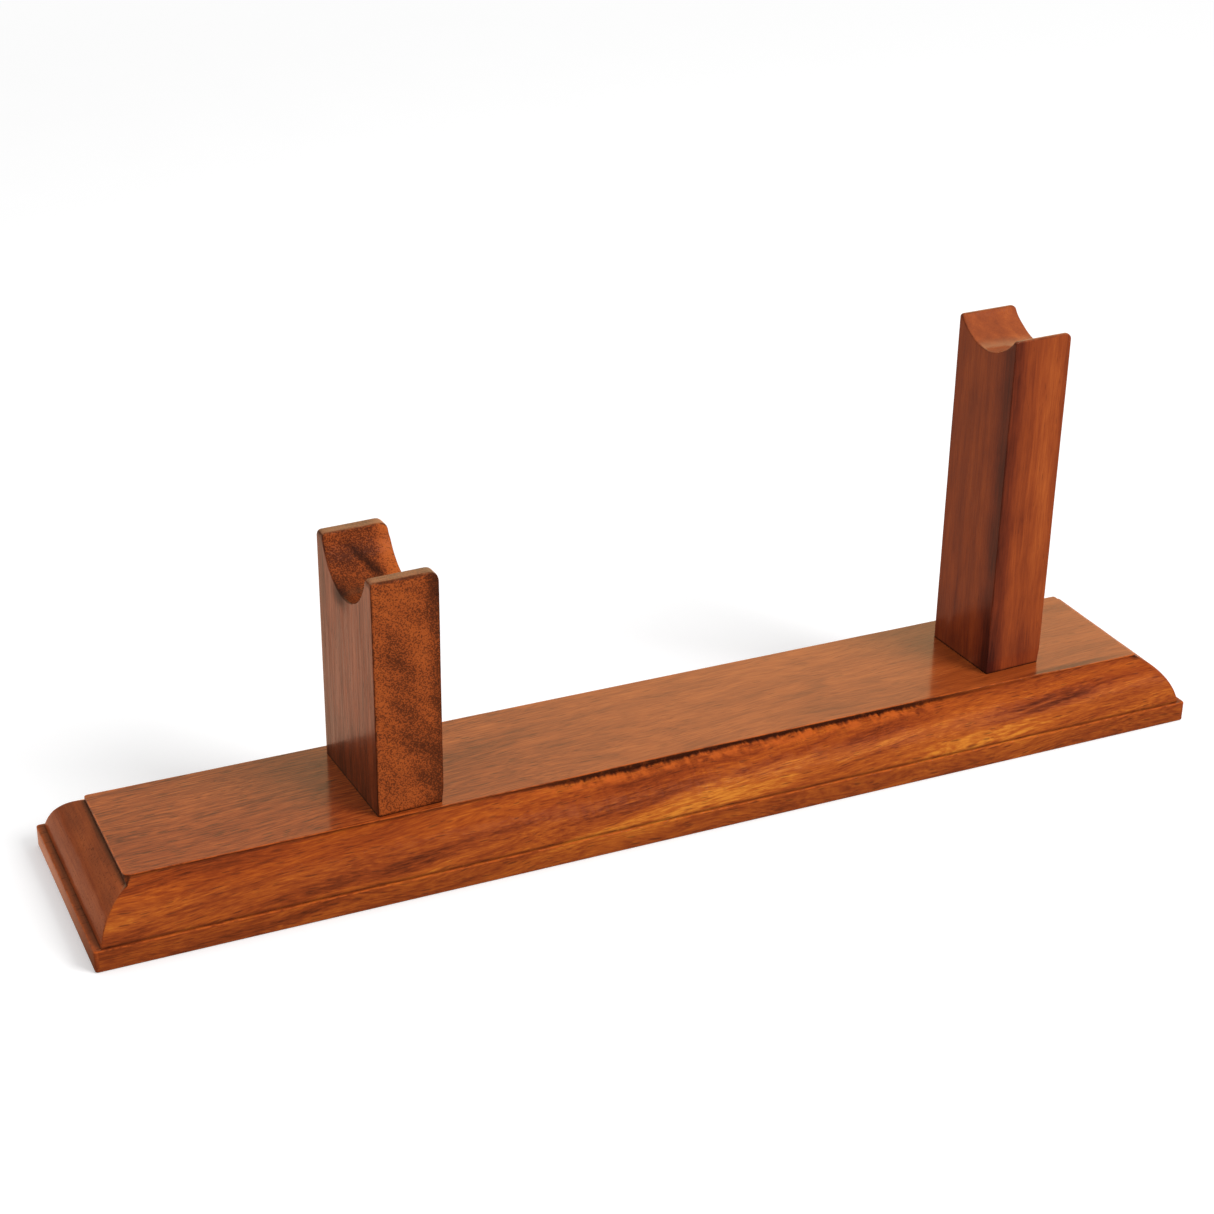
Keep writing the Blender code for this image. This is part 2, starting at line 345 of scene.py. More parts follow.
# In millimetres: depths, wavelengths, and the distance from the middle beyond which the sides are sanded
SANDING_DEPTH = 0.05
SANDING_LIFT = 0.03
LONG_WAVE = 14
LIFT_WAVE = 9
SHORT_WAVE = 6
SANDED_FROM_X = 150
SANDED_FROM_Y = 20


def hand_finish(point, part):
    """Tiny unevenness left by sanding, in millimetres. The sides only ever move inward."""
    if part in ("underside", "bottom"):
        return point
    x, y, z = (c / MM for c in point)
    wave = abs(SANDING_DEPTH * rough(3, x / LONG_WAVE, y / LONG_WAVE, z / LONG_WAVE))
    if part == "curve":
        wave += abs(SANDING_DEPTH * rough(4, x / SHORT_WAVE, y / SHORT_WAVE, z / SHORT_WAVE))
    lift = SANDING_LIFT * rough(5, x / LIFT_WAVE, y / LIFT_WAVE) if part in ("curve", "ledge") else 0.0
    if abs(x) > SANDED_FROM_X:
        x -= math.copysign(wave, x)
    if abs(y) > SANDED_FROM_Y:
        y -= math.copysign(wave, y)
    return x * MM, y * MM, (z + lift) * MM


# The screw holes, from the underside up: a mouth for the screw's head, a cone, and a plain bore
HOLE_SIDES = 48
MOUTH_RADIUS = 4.1 * MM
BORE_RADIUS = 2.25 * MM
CONE_START = 1.6 * MM
CONE_END = 3.6 * MM
HOLE_PROFILE = ((0.0, MOUTH_RADIUS), (CONE_START, MOUTH_RADIUS), (CONE_END, BORE_RADIUS), (TOP, BORE_RADIUS))


def hole_circle(centre, radius, z):
    turns = [2 * math.pi * i / HOLE_SIDES for i in range(HOLE_SIDES)]
    return [(centre.x + radius * math.cos(a), centre.y + radius * math.sin(a), z) for a in turns]


def drill(verts, faces, centres, bottom, top):
    """Close the board's two flat ends round the screw holes, and line the holes down their countersinks."""
    bottoms, tops = [], []
    for centre in centres:
        starts = []
        for z, radius in HOLE_PROFILE:
            starts.append(len(verts))
            verts.extend(hole_circle(centre, radius, z))
        for a, b in zip(starts, starts[1:]):
            for i in range(HOLE_SIDES):
                j = (i + 1) % HOLE_SIDES
                faces.append((a + i, b + i, b + j, a + j))
        bottoms.append(range(starts[0], starts[0] + HOLE_SIDES))
        tops.append(range(starts[-1], starts[-1] + HOLE_SIDES))
    for outline, circles, up in ((bottom, bottoms, False), (top, tops, True)):
        loops = [list(outline)] + [list(circle) for circle in circles]
        flat = [index for loop in loops for index in loop]
        for corners in geometry.tessellate_polygon([[Vector(verts[i]) for i in loop] for loop in loops]):
            face = [flat[i] for i in corners]
            a, b, c = (Vector(verts[i]).xy for i in face)
            faces.append(tuple(face if ((b - a).cross(c - a) > 0) == up else reversed(face)))


def build_plinth():
    levels = plinth_levels()
    # crease: the steps' staining and painted shade at the moulding's foot; arris: a painted highlight
    verts, faces, crease, arris = [], [], [], []
    for part, value in levels:
        ring = plinth_ring(part, value)
        for x, y, z, stain_and_shade, rub in ring:
            verts.append(hand_finish((x, y, z), part))
            crease.append(stain_and_shade)
            arris.append(rub)
    count = len(ring)
    for k in range(len(levels) - 1):
        for i in range(count):
            j = (i + 1) % count
            a, b = k * count, (k + 1) * count
            faces.append((a + i, a + j, b + j, b + i))
    screws = [sum(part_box(name), Vector()) / 2 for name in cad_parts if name.endswith("_screw")]
    drill(verts, faces, screws, range(count), range((len(levels) - 1) * count, len(levels) * count))
    bare = [0.0] * (len(verts) - len(crease))
    return add_mesh("plinth_board", verts, faces, {"crease": crease + bare, "arris": arris + bare})


# ---------------------------------------------------------------- posts


POSTS = {
    "short_post": SimpleNamespace(
        depth=38.0 * MM, saddle=12.2 * MM, arris=0.5 * MM, outer=0.9 * MM, inner=0.75 * MM,
        round_left=1.3 * MM, round_right=2.6 * MM, tilt=0.2 * MM, seed=11,
    ),
    "tall_post": SimpleNamespace(
        depth=27.2 * MM, saddle=6.6 * MM, arris=0.35 * MM, outer=0.55 * MM, inner=0.5 * MM,
        round_left=0.9 * MM, round_right=1.9 * MM, tilt=0.9 * MM, seed=23,
    ),
}
SADDLE_RADIUS = 15.0 * MM
LEAST_FILLET = 0.05 * MM
CAP_INSET = 0.08 * MM
# Stations across a post, from a side face inwards: round the arris, then over the flat
ARRIS_ANGLES = (90, 67, 45, 22, 0)
RAMP_STEPS = (0.4 * MM, 0.8 * MM, 1.3 * MM, 2.0 * MM, 3.0 * MM)
MIDDLE_START = 3.6 * MM
MIDDLE_STATIONS = 9
PRONG_HEIGHT = 5 * MM
FOOT_WEAR = 0.45 * MM
FOOT_WEAR_FROM_X = 8 * MM
FOOT_WEAR_HEIGHT = 5 * MM
# The posts' slight waviness: its depth, and its wavelengths in millimetres
WAVINESS = 0.05 * MM
WAVE_ACROSS = 12
WAVE_UP = 18
# Points along each stretch of a post's outline
FOOT_POINTS = 12
SIDE_POINTS = 48
FILLET_POINTS = 6
PRONG_POINTS = 3
SADDLE_POINTS = 41


def post_outline(post, height, inset):
    """The post seen along X, anticlockwise from the foot's front corner.

    Each point is (y, z, 1 in the saddle, 1 at the middle of a rounded edge).
    The inset draws the outline in by that much, for the rounded arrises."""
    half = post.depth / 2 - inset
    top = height - inset
    outer = max(post.outer - inset, LEAST_FILLET)
    inner = max(post.inner - inset, LEAST_FILLET)
    saddle_z = height - post.saddle + SADDLE_RADIUS
    radius = SADDLE_RADIUS + inset
    rise = saddle_z - top + inner
    reach = math.sqrt((radius + inner) ** 2 - rise ** 2)
    spread = math.atan2(reach, rise)
    turn = math.degrees(spread)
    points = []

    def line(a, b, count):
        for i in range(count):
            points.append((lerp(a[0], b[0], i / count), lerp(a[1], b[1], i / count), 0.0, 0.0))

    def arc(y, fillet, first, last, count):
        for i in range(count):
            angle = math.radians(lerp(first, last, i / count))
            edge = math.sin(math.pi * i / count)
            points.append((y + fillet * math.cos(angle), top - fillet + fillet * math.sin(angle), 0.0, edge))

    line((-half, 0.0), (half, 0.0), FOOT_POINTS)
    line((half, 0.0), (half, top - outer), SIDE_POINTS)
    arc(half - outer, outer, 0, 90, FILLET_POINTS)
    line((half - outer, top), (reach, top), PRONG_POINTS)
    arc(reach, inner, 90, 90 + turn, FILLET_POINTS)
    for angle in np.linspace(spread, -spread, SADDLE_POINTS):
        points.append((radius * math.sin(angle), saddle_z - radius * math.cos(angle), 1.0, 0.0))
    arc(-reach, inner, 90 - turn, 90, FILLET_POINTS)
    line((-reach, top), (outer - half, top), PRONG_POINTS)
    arc(outer - half, outer, 90, 180, FILLET_POINTS)
    line((-half, top - outer), (-half, 0.0), SIDE_POINTS)
    return points


def post_stations(arris):
    """Positions across the post, how far the outline is drawn in there, and 1 on the rounded arrises."""
    half = POST_WIDTH / 2
    edge = [(half, arris + CAP_INSET, 0.0)]
    for angle in ARRIS_ANGLES:
        lean = math.radians(angle)
        edge.append((half - arris * (1 - math.sin(lean)), arris * (1 - math.cos(lean)), math.sin(2 * lean)))
    ramp = [(half - arris - step, 0.0, 0.0) for step in RAMP_STEPS]
    flat = half - arris - MIDDLE_START
    middle = [(x, 0.0, 0.0) for x in np.linspace(-flat, flat, MIDDLE_STATIONS)]
    right = list(reversed(edge + ramp))
    left = [(-x, inset, rub) for x, inset, rub in edge + ramp]
    return left + middle + right


def end_drop(x, post):
    """How far the prongs' rounded ends fall towards the post's side faces."""
    radius = post.round_right if x > 0 else post.round_left
    over = max(abs(x) - (POST_WIDTH / 2 - radius), 0.0)
    return radius - math.sqrt(max(radius ** 2 - over ** 2, 0.0))


def post_mesh(post, height):
    verts, faces, arris = [], [], []
    across = post_stations(post.arris)
    for x, inset, rub in across:
        drop = end_drop(x, post)
        wear_and_arris_tint = FOOT_WEAR if x > FOOT_WEAR_FROM_X else 0.0
        outline = post_outline(post, height, inset)
        for y, z, saddle, edge in outline:
            share = smooth(height - PRONG_HEIGHT, height, z)
            dip = saddle * post.tilt * (x / POST_WIDTH + 0.5) * (height - z) / post.saddle
            place = (x / MM / WAVE_ACROSS, y / MM / WAVE_ACROSS, z / MM / WAVE_UP)
            wave = WAVINESS * rough(post.seed, *place)
            tuck = wear_and_arris_tint * (1 - smooth(0, FOOT_WEAR_HEIGHT, z))
            verts.append((x - tuck, y + wave, max(z - drop * share - dip, 0.0)))
            arris.append(0.0 if inset > post.arris else max(rub, edge))
    count = len(outline)
    for k in range(len(across) - 1):
        for i in range(count):
            j = (i + 1) % count
            a, b = k * count, (k + 1) * count
            faces.append((a + i, a + j, b + j, b + i))
    faces.append(tuple(range(count))[::-1])
    faces.append(tuple(range((len(across) - 1) * count, len(across) * count)))
    return verts, faces, {"arris": arris}


def post_place(name):
    """Where the post stands: the middle of its foot on the plateau, twisted as it was screwed down."""
    low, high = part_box(name)
    centre = (low + high) / 2
    return Matrix.Translation((centre.x, centre.y, TOP)) @ Matrix.Rotation(POST_TWIST, 4, "Z")


def build_post(name):
    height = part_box(name)[1].z - TOP
    verts, faces, attributes = post_mesh(POSTS[name], height)
    place = post_place(name)
    return add_mesh(name + "_wood", [place @ Vector(v) for v in verts], faces, attributes)


# ---------------------------------------------------------------- materials

# In the materials, places and sizes are in millimetres. Small numbers are shares from 0 to 1, or the detail
# and the roughness of a noise.

NOISE_GAIN = 3.2


class Graph:
    """A short way to write the shader nodes of a material or of the world."""

    def __init__(self, owner):
        self.owner = owner
        owner.use_nodes = True
        self.tree = owner.node_tree
        self.tree.nodes.clear()

    def node(self, kind, inputs=None, **settings):
        node = self.tree.nodes.new(kind)
        for key, value in settings.items():
            setattr(node, key, value)
        for key, value in (inputs or {}).items():
            self.feed(node.inputs[key], value)
        return node

    def feed(self, socket, value):
        if isinstance(value, bpy.types.NodeSocket):
            self.tree.links.new(value, socket)
        else:
            socket.default_value = value

    def math(self, operation, a, b=0.0, c=0.0):
        return self.node("ShaderNodeMath", {0: a, 1: b, 2: c}, operation=operation).outputs[0]

    def add(self, *terms):
        total = terms[0]
        for term in terms[1:]:
            total = self.math("ADD", total, term)
        return total

    def times(self, *terms):
        total = terms[0]
        for term in terms[1:]:
            total = self.math("MULTIPLY", total, term)
        return total

    def vector(self, operation, a, b=(0, 0, 0)):
        return self.node("ShaderNodeVectorMath", {0: a, 1: b}, operation=operation).outputs[0]

    def split(self, vector):
        return self.node("ShaderNodeSeparateXYZ", {0: vector}).outputs[:3]

    def length(self, vector):
        return self.node("ShaderNodeVectorMath", {0: vector}, operation="LENGTH").outputs["Value"]

    def turn(self, vector, rotation):
        inputs = {0: vector, "Rotation": rotation}
        return self.node("ShaderNodeVectorRotate", inputs, rotation_type="EULER_XYZ").outputs[0]

    def mix(self, share, a, b, blend="MIX"):
        node = self.node("ShaderNodeMix", data_type="RGBA", blend_type=blend, clamp_factor=True)
        self.feed(node.inputs[0], share)
        self.feed(node.inputs[6], a)
        self.feed(node.inputs[7], b)
        return node.outputs[2]

    def choose(self, share, a, b):
        """Number a where the share is 0, number b where it is 1."""
        node = self.node("ShaderNodeMix", data_type="FLOAT", clamp_factor=True)
        self.feed(node.inputs[0], share)
        self.feed(node.inputs[2], a)
        self.feed(node.inputs[3], b)
        return node.outputs[0]

    def ease(self, value, low, high, to_low=0.0, to_high=1.0):
        inputs = {0: value, 1: low, 2: high, 3: to_low, 4: to_high}
        return self.node("ShaderNodeMapRange", inputs, interpolation_type="SMOOTHSTEP").outputs[0]

    def noise(self, vector, detail=2.0, roughness=0.5, distortion=0.0):
        inputs = {"Vector": vector, "Scale": 1.0, "Detail": detail, "Roughness": roughness}
        inputs["Distortion"] = distortion
        return self.node("ShaderNodeTexNoise", inputs).outputs[0]

    def swing(self, vector, amount, detail=2.0, roughness=0.5, distortion=0.0):
        """Noise about zero, reaching about the given amount both ways."""
        level = self.noise(vector, detail, roughness, distortion)
        return self.math("MULTIPLY", self.math("SUBTRACT", level, 0.5), amount * NOISE_GAIN)

    def ramp(self, value, *stops):
        node = self.node("ShaderNodeValToRGB", {0: value})
        elements = node.color_ramp.elements
        for i, (place, colour) in enumerate(stops):
            stop = elements[i] if i < 2 else elements.new(place)
            stop.position = place
            stop.color = colour
        return node.outputs[0]

    def attribute(self, name):
        return self.node("ShaderNodeAttribute", attribute_name=name).outputs["Fac"]

    def finish(self, shader, output="ShaderNodeOutputMaterial"):
        self.node(output, {0: shader})
        return self.owner


def material_graph(name):
    return Graph(bpy.data.materials.new(name))


def rgb(red, green, blue):
    """Linear colour from display values from 0 to 255."""

    def linear(value):
        value = value / 255
        return value / 12.92 if value <= 0.04045 else ((value + 0.055) / 1.055) ** 2.4

    return linear(red), linear(green), linear(blue), 1.0


PLATEAU_TONES = ((0.0, rgb(198, 126, 66)), (0.5, rgb(162, 91, 45)), (1.0, rgb(102, 45, 20)))
# The wood's colour is deepened throughout; the further deepening towards the left is painted in place of the
# lacquer's weaker sheen there
PLATEAU_WARMTH = ((0.87, 0.52, 0.35, 1), (1.03, 0.69, 0.48, 1))
# Painted light: the plateau's front left is deeper and redder, standing in for the lacquer's weaker sheen
# there
PLATEAU_LESS_SHEEN = ((1.0, 1.0, 1.0, 1), (0.92, 0.80, 0.70, 1))
MOULDING_TONES = (
    (0.05, rgb(212, 128, 42)),
    (0.35, rgb(178, 88, 28)),
    (0.65, rgb(144, 62, 22)),
    (1.0, rgb(86, 33, 13)),
)
MOULDING_TOP_TINT = (1.0, 0.84, 0.62, 1)
END_TONES = ((0.05, rgb(184, 91, 39)), (0.5, rgb(150, 68, 30)), (0.95, rgb(94, 37, 16)))
UNDERSIDE_TONES = (rgb(172, 112, 68), rgb(116, 64, 34))
PLINTH_PORE = rgb(80, 35, 15)
END_GRAIN_TONES = ((0.0, rgb(196, 98, 39)), (0.45, rgb(165, 77, 31)), (1.0, rgb(90, 38, 16)))
END_GRAIN_SPECK = rgb(48, 19, 9)
SADDLE_STREAK = rgb(40, 17, 9)
FLANK_TONES = ((0.1, rgb(150, 68, 30)), (0.5, rgb(114, 47, 20)), (1.0, rgb(54, 20, 9)))
FLANK_PORE = rgb(52, 22, 11)
SMUDGE = rgb(38, 20, 17)
# Painted sheen on the short post's prong tops
PRONG_SHEEN_TONES = (rgb(112, 64, 38), rgb(160, 102, 64))
TALL_TONES = (
    (0.05, rgb(192, 98, 43)),
    (0.4, rgb(155, 70, 32)),
    (0.7, rgb(118, 48, 26)),
    (1.0, rgb(66, 22, 17)),
)
TALL_PORE = rgb(70, 28, 14)
# Painted sheen on the tall post's upward-facing surfaces
TALL_TOP_SHEEN = rgb(166, 96, 60)
# Colour of the darkened creases: the steps' staining, and painted shade at the moulding's foot, on the ledge
# and at the posts' feet
CREASE_STAIN_AND_SHADE = rgb(46, 15, 7)
# Painted highlight along the plinth's arrises
PLINTH_ARRIS_HIGHLIGHT = rgb(212, 100, 34)
# Darker along the posts' rounded arrises
SHORT_ARRIS_TINT = rgb(58, 25, 13)
TALL_ARRIS_TINT = rgb(74, 36, 24)
ZINC_TONES = ((0.62, 0.60, 0.55, 1), (0.42, 0.40, 0.36, 1))


def millimetres(g):
    """Object coordinates in millimetres."""
    coords = g.node("ShaderNodeTexCoord").outputs["Object"]
    return g.node("ShaderNodeVectorMath", {0: coords, 3: 1 / MM}, operation="SCALE").outputs[0]


def fibres(g, vector, axis, across, along):
    """Coordinates squeezed so that features run along the fibres: sizes in millimetres."""
    scale = [1 / across] * 3
    scale[axis] = 1 / along
    return g.vector("MULTIPLY", vector, tuple(scale))


def wandering(g, vector, axis, amount, across=14.0, along=60.0):
    """Coordinates pushed sideways a little, so that the fibres wander."""
    node = g.node("ShaderNodeTexNoise", {"Vector": fibres(g, vector, axis, across, along), "Scale": 1.0})
    push = [amount * 3.0] * 3
    push[axis] = 0.0
    bend = g.vector("SUBTRACT", node.outputs["Color"], (0.5, 0.5, 0.5))
    return g.vector("ADD", vector, g.vector("MULTIPLY", bend, tuple(push)))


def pores(g, vector, axis, gap, length, size, share):
    """1 inside a pore: dashes along the fibres and dots where the fibres end."""
    squeezed = fibres(g, vector, axis, gap, gap * length)
    cells = g.node("ShaderNodeTexVoronoi", {"Vector": squeezed, "Scale": 1.0})
    pick = g.split(cells.outputs["Color"])
    limit = g.math("MULTIPLY_ADD", pick[0], size, size * 0.45)
    inside = g.ease(g.math("DIVIDE", cells.outputs["Distance"], limit), 1.0, 0.45)
    return g.times(inside, g.ease(pick[1], share, share - 0.15))


def evenly(g, vector, size):
    """Coordinates for a feature of one size in every direction, in millimetres."""
    return g.vector("MULTIPLY", vector, (1 / size,) * 3)


def lacquered(g, colour, pore, fine, p, stain_and_shade, look):
    """The clear satin coat over the stained wood, with its bump, creases darkened by staining and painted
    shade, and tinted arrises.
    """
    patchy = g.ease(g.noise(evenly(g, p, 1.6), 3.0, 0.6), 0.25, 0.5, 0.7, 1.0)
    # Darkened creases: staining at the plinth's steps, painted shade at the moulding's foot, on the ledge
    # and at the posts' feet
    colour = g.mix(g.times(stain_and_shade, patchy, look.crease), colour, look.crease_colour)
    # The arris tint, broken up by noise: a painted highlight on the plinth, darker on the posts
    wear_and_arris_tint = g.ease(g.noise(evenly(g, p, 3.0)), 0.38, 0.6)
    colour = g.mix(g.times(g.attribute("arris"), wear_and_arris_tint, look.rub), colour, look.rub_colour)
    smudge = g.swing(evenly(g, p, 9.0), 0.05, 3.0, 0.6)
    coat_rough = g.add(look.coat_rough, g.times(pore, 0.12), smudge)
    height = g.add(g.times(pore, -0.8), g.times(fine, 0.5), g.noise(evenly(g, p, 4.5)))
    relief = {"Height": height, "Strength": look.bump, "Distance": 0.06 * MM}
    bump = g.node("ShaderNodeBump", relief).outputs[0]
    shader = g.node(
        "ShaderNodeBsdfPrincipled",
        {
            "Base Color": colour,
            "Roughness": g.add(0.5, g.times(pore, 0.2)),
            "Specular IOR Level": 0.05,
            "Normal": bump,
            "Coat Weight": look.coat,
            "Coat Roughness": coat_rough,
            "Coat IOR": 1.45,
            "Coat Normal": bump,
        },
    )
    return g.finish(shader.outputs[0])


def lacquer(**changes):
    """Settings of the lacquer, of the crease darkening under it (staining and painted shade), and of the
    arris tint.
    """
    values = dict(
        crease=0.95, crease_colour=CREASE_STAIN_AND_SHADE, rub=0.35, rub_colour=PLINTH_ARRIS_HIGHLIGHT,
        bump=0.3, coat=1.0, coat_rough=0.13,
    )
    values.update(changes)
    return SimpleNamespace(**values)


def patch(g, p, centre, size, lean=0.0, turn=0.0):
    """1 at the middle of an elongated soft patch, falling to 0 at its rim: millimetres and degrees."""
    local = g.turn(g.vector("SUBTRACT", p, centre), (0, math.radians(lean), math.radians(turn)))
    return g.ease(g.length(g.vector("DIVIDE", local, size)), 1.0, 0.0)


PLATEAU_FRONT = SIDES["front"].inset - HALF_Y
# Dark patches on the plateau, in millimetres: their middles and half sizes
KNOT_PLACE = (-48, 2, TOP / MM)
KNOT_SIZE = (26, 7, 4)
MARGIN_PLACE = (130, PLATEAU_FRONT / MM + 1.6, TOP / MM)
MARGIN_SIZE = (30, 2.2, 4)


def plateau_colour(g, p, grain):
    """Tan face grain: dense dark dashes on the left, soft swirls in the middle, smoother to the right."""
    x, y = g.split(p)[:2]
    left = g.ease(x, 0, -95)
    middle = g.times(g.ease(x, -75, -30), g.ease(x, 125, 70))
    bands = g.swing(fibres(g, grain, 0, 6.0, 170.0), 0.16)
    swirl = g.times(middle, g.swing(fibres(g, grain, 0, 7.0, 30.0), 0.22, 3.0, 0.55, 1.4))
    cloud = g.swing(fibres(g, grain, 0, 12.0, 30.0), 0.10)
    coarse = g.noise(fibres(g, grain, 0, 0.5, 11.0), 3.0, 0.65)
    dashes = g.times(g.add(coarse, -0.5), g.choose(left, 0.9, 2.4))
    knot = g.times(patch(g, p, KNOT_PLACE, KNOT_SIZE, turn=-12), 0.25)
    margin = g.times(patch(g, p, MARGIN_PLACE, MARGIN_SIZE), 0.5)
    tone = g.add(0.5, bands, swirl, cloud, dashes, knot, margin)
    colour = g.ramp(tone, *PLATEAU_TONES)
    # Deeper throughout, and more towards the left, where the extra depth is painted in place of weaker sheen
    warm = g.mix(g.ease(x, -150, 10), *PLATEAU_WARMTH)
    # Painted light: deeper and redder at the front left, in place of the lacquer's weaker sheen there
    near = g.mix(g.times(left, g.ease(y, 8, -14)), *PLATEAU_LESS_SHEEN)
    return g.mix(1.0, g.mix(1.0, colour, warm, "MULTIPLY"), near, "MULTIPLY")


# Figure along the front moulding: each patch's middle along x, its height, half its length and half its
# thickness in millimetres, its lean in degrees, and its strength. Golden patches are negative.
FIGURE_DEPTH = 14
FIGURE = (
    (98.0, 7.4, 44.0, 4.2, 4.0, -0.34),
    (6.0, 8.8, 62.0, 5.0, 6.0, -0.30),
    (-142.0, 7.5, 16.0, 4.0, 0.0, -0.25),
    (122.0, 14.0, 40.0, 2.8, 5.0, 0.30),
    (-14.0, 13.0, 40.0, 3.4, 5.0, 0.24),
    (60.0, 15.0, 30.0, 2.4, 5.0, 0.22),
    (-70.0, 11.0, 50.0, 3.0, 2.0, 0.12),
)


def moulding_colour(g, p, grain, fine):
    """Deep orange below the plateau, with golden and brown streaks lower down and on the edge."""
    x, _, z = g.split(p)
    rising = g.turn(grain, (0, math.radians(6), 0))
    patches = g.swing(fibres(g, rising, 0, 2.4, 34.0), 0.20, 2.0, 0.5)
    flow = g.swing(fibres(g, rising, 0, 3.8, 120.0), 0.22)
    front = -HALF_Y / MM + 5.0
    figure = [
        g.times(patch(g, p, (middle, front, height), (half, FIGURE_DEPTH, thick), lean), strength)
        for middle, height, half, thick, lean, strength in FIGURE
    ]
    flecks = g.swing(fibres(g, grain, 0, 0.7, 2.6), 0.10, 2.0, 0.6)
    calm = g.ease(z, 12.5, 15.5)
    patches = g.times(g.add(patches, flecks), g.choose(calm, 1.0, 0.5))
    left = g.ease(x, -60, -130, 0.0, 0.07)
    broken = g.ease(g.noise(fibres(g, rising, 0, 1.1, 26.0), 3.0, 0.6), 0.3, 0.7, 0.2, 1.6)
    edge = g.ease(z, 6.5, 6.0, 0.0, 0.08)
    fibre = g.times(g.add(fine, -0.5), 0.95)
    figure = g.times(g.add(*figure), broken)
    tone = g.add(0.49, patches, flow, g.times(calm, 0.04), left, edge, fibre, figure)
    colour = g.ramp(tone, *MOULDING_TONES)
    return g.mix(g.times(calm, 0.5), colour, g.mix(1.0, colour, MOULDING_TOP_TINT, "MULTIPLY"))


def end_colour(g, p):
    """End mouldings: red-brown, with soft streaks across the board."""
    brushed = g.swing(fibres(g, p, 1, 0.6, 16.0), 0.2, 3.0, 0.6)
    cloud = g.swing(fibres(g, p, 1, 7.0, 20.0), 0.22)
    specks = g.swing(evenly(g, p, 0.6), 0.12, 2.0)
    tone = g.add(0.5, brushed, cloud, specks)
    return g.ramp(tone, *END_TONES)


def plinth_material():
    """Stained board with its fibres along X."""
    g = material_graph("plinth_wood")
    p = millimetres(g)
    x, y, z = g.split(p)
    grain = wandering(g, g.turn(p, (0, 0, math.radians(-3))), 0, 3.0)
    plateau = g.ease(z, TOP / MM - 0.3, TOP / MM - 0.15)
    fine = g.noise(fibres(g, grain, 0, 0.42, 5.0), 3.0, 0.6)
    dash = pores(g, grain, 0, 0.6, 10.0, 0.32, 0.8)

    end_inset = g.math("SUBTRACT", HALF_X / MM, g.math("ABSOLUTE", x))
    side_inset = g.math("SUBTRACT", HALF_Y / MM, g.math("ABSOLUTE", y))
    end_face = g.ease(g.math("SUBTRACT", side_inset, end_inset), -1.2, -0.9)
    end_face = g.times(end_face, g.ease(end_inset, 11.8, 11.4), g.math("SUBTRACT", 1.0, plateau))
    underside = g.ease(z, 0.2, 0.05)
    end_face = g.times(end_face, g.math("SUBTRACT", 1.0, underside))

    colour = g.mix(plateau, moulding_colour(g, p, grain, fine), plateau_colour(g, p, grain))
    colour = g.mix(end_face, colour, end_colour(g, p))
    sawn = g.add(fine, g.swing(fibres(g, grain, 0, 8.0, 90.0), 0.2))
    colour = g.mix(underside, colour, g.mix(g.ease(sawn, 0.2, 0.8), *UNDERSIDE_TONES))
    strength = g.choose(plateau, 0.55, g.ease(x, 20, -90, 0.35, 0.75))
    colour = g.mix(g.times(dash, strength), colour, PLINTH_PORE)
    # The steps' staining, and painted shade at the moulding's foot and on the ledge
    stain_and_shade = g.attribute("crease")
    coat = g.choose(g.add(end_face, underside), 1.0, 0.25)
    # The arris tint here is a painted highlight
    return lacquered(g, colour, g.times(dash, 0.6), fine, p, stain_and_shade, lacquer(coat=coat, rub=0.6))


def post_coordinates(g, name):
    """Millimetres from the middle of the post's foot, square to its faces."""
    place = post_place(name).translation / MM
    moved = g.vector("SUBTRACT", millimetres(g), tuple(place))
    return g.turn(moved, (0, 0, -POST_TWIST))


def sideways(g):
    """1 on a post's left and right faces."""
    normal = g.split(g.node("ShaderNodeTexCoord").outputs["Normal"])
    return g.ease(g.math("ABSOLUTE", normal[0]), 0.5, 0.8)


def facing_up(g, low, high):
    """1 on surfaces that look upwards."""
    return g.ease(g.split(g.node("ShaderNodeTexCoord").outputs["Normal"])[2], low, high)


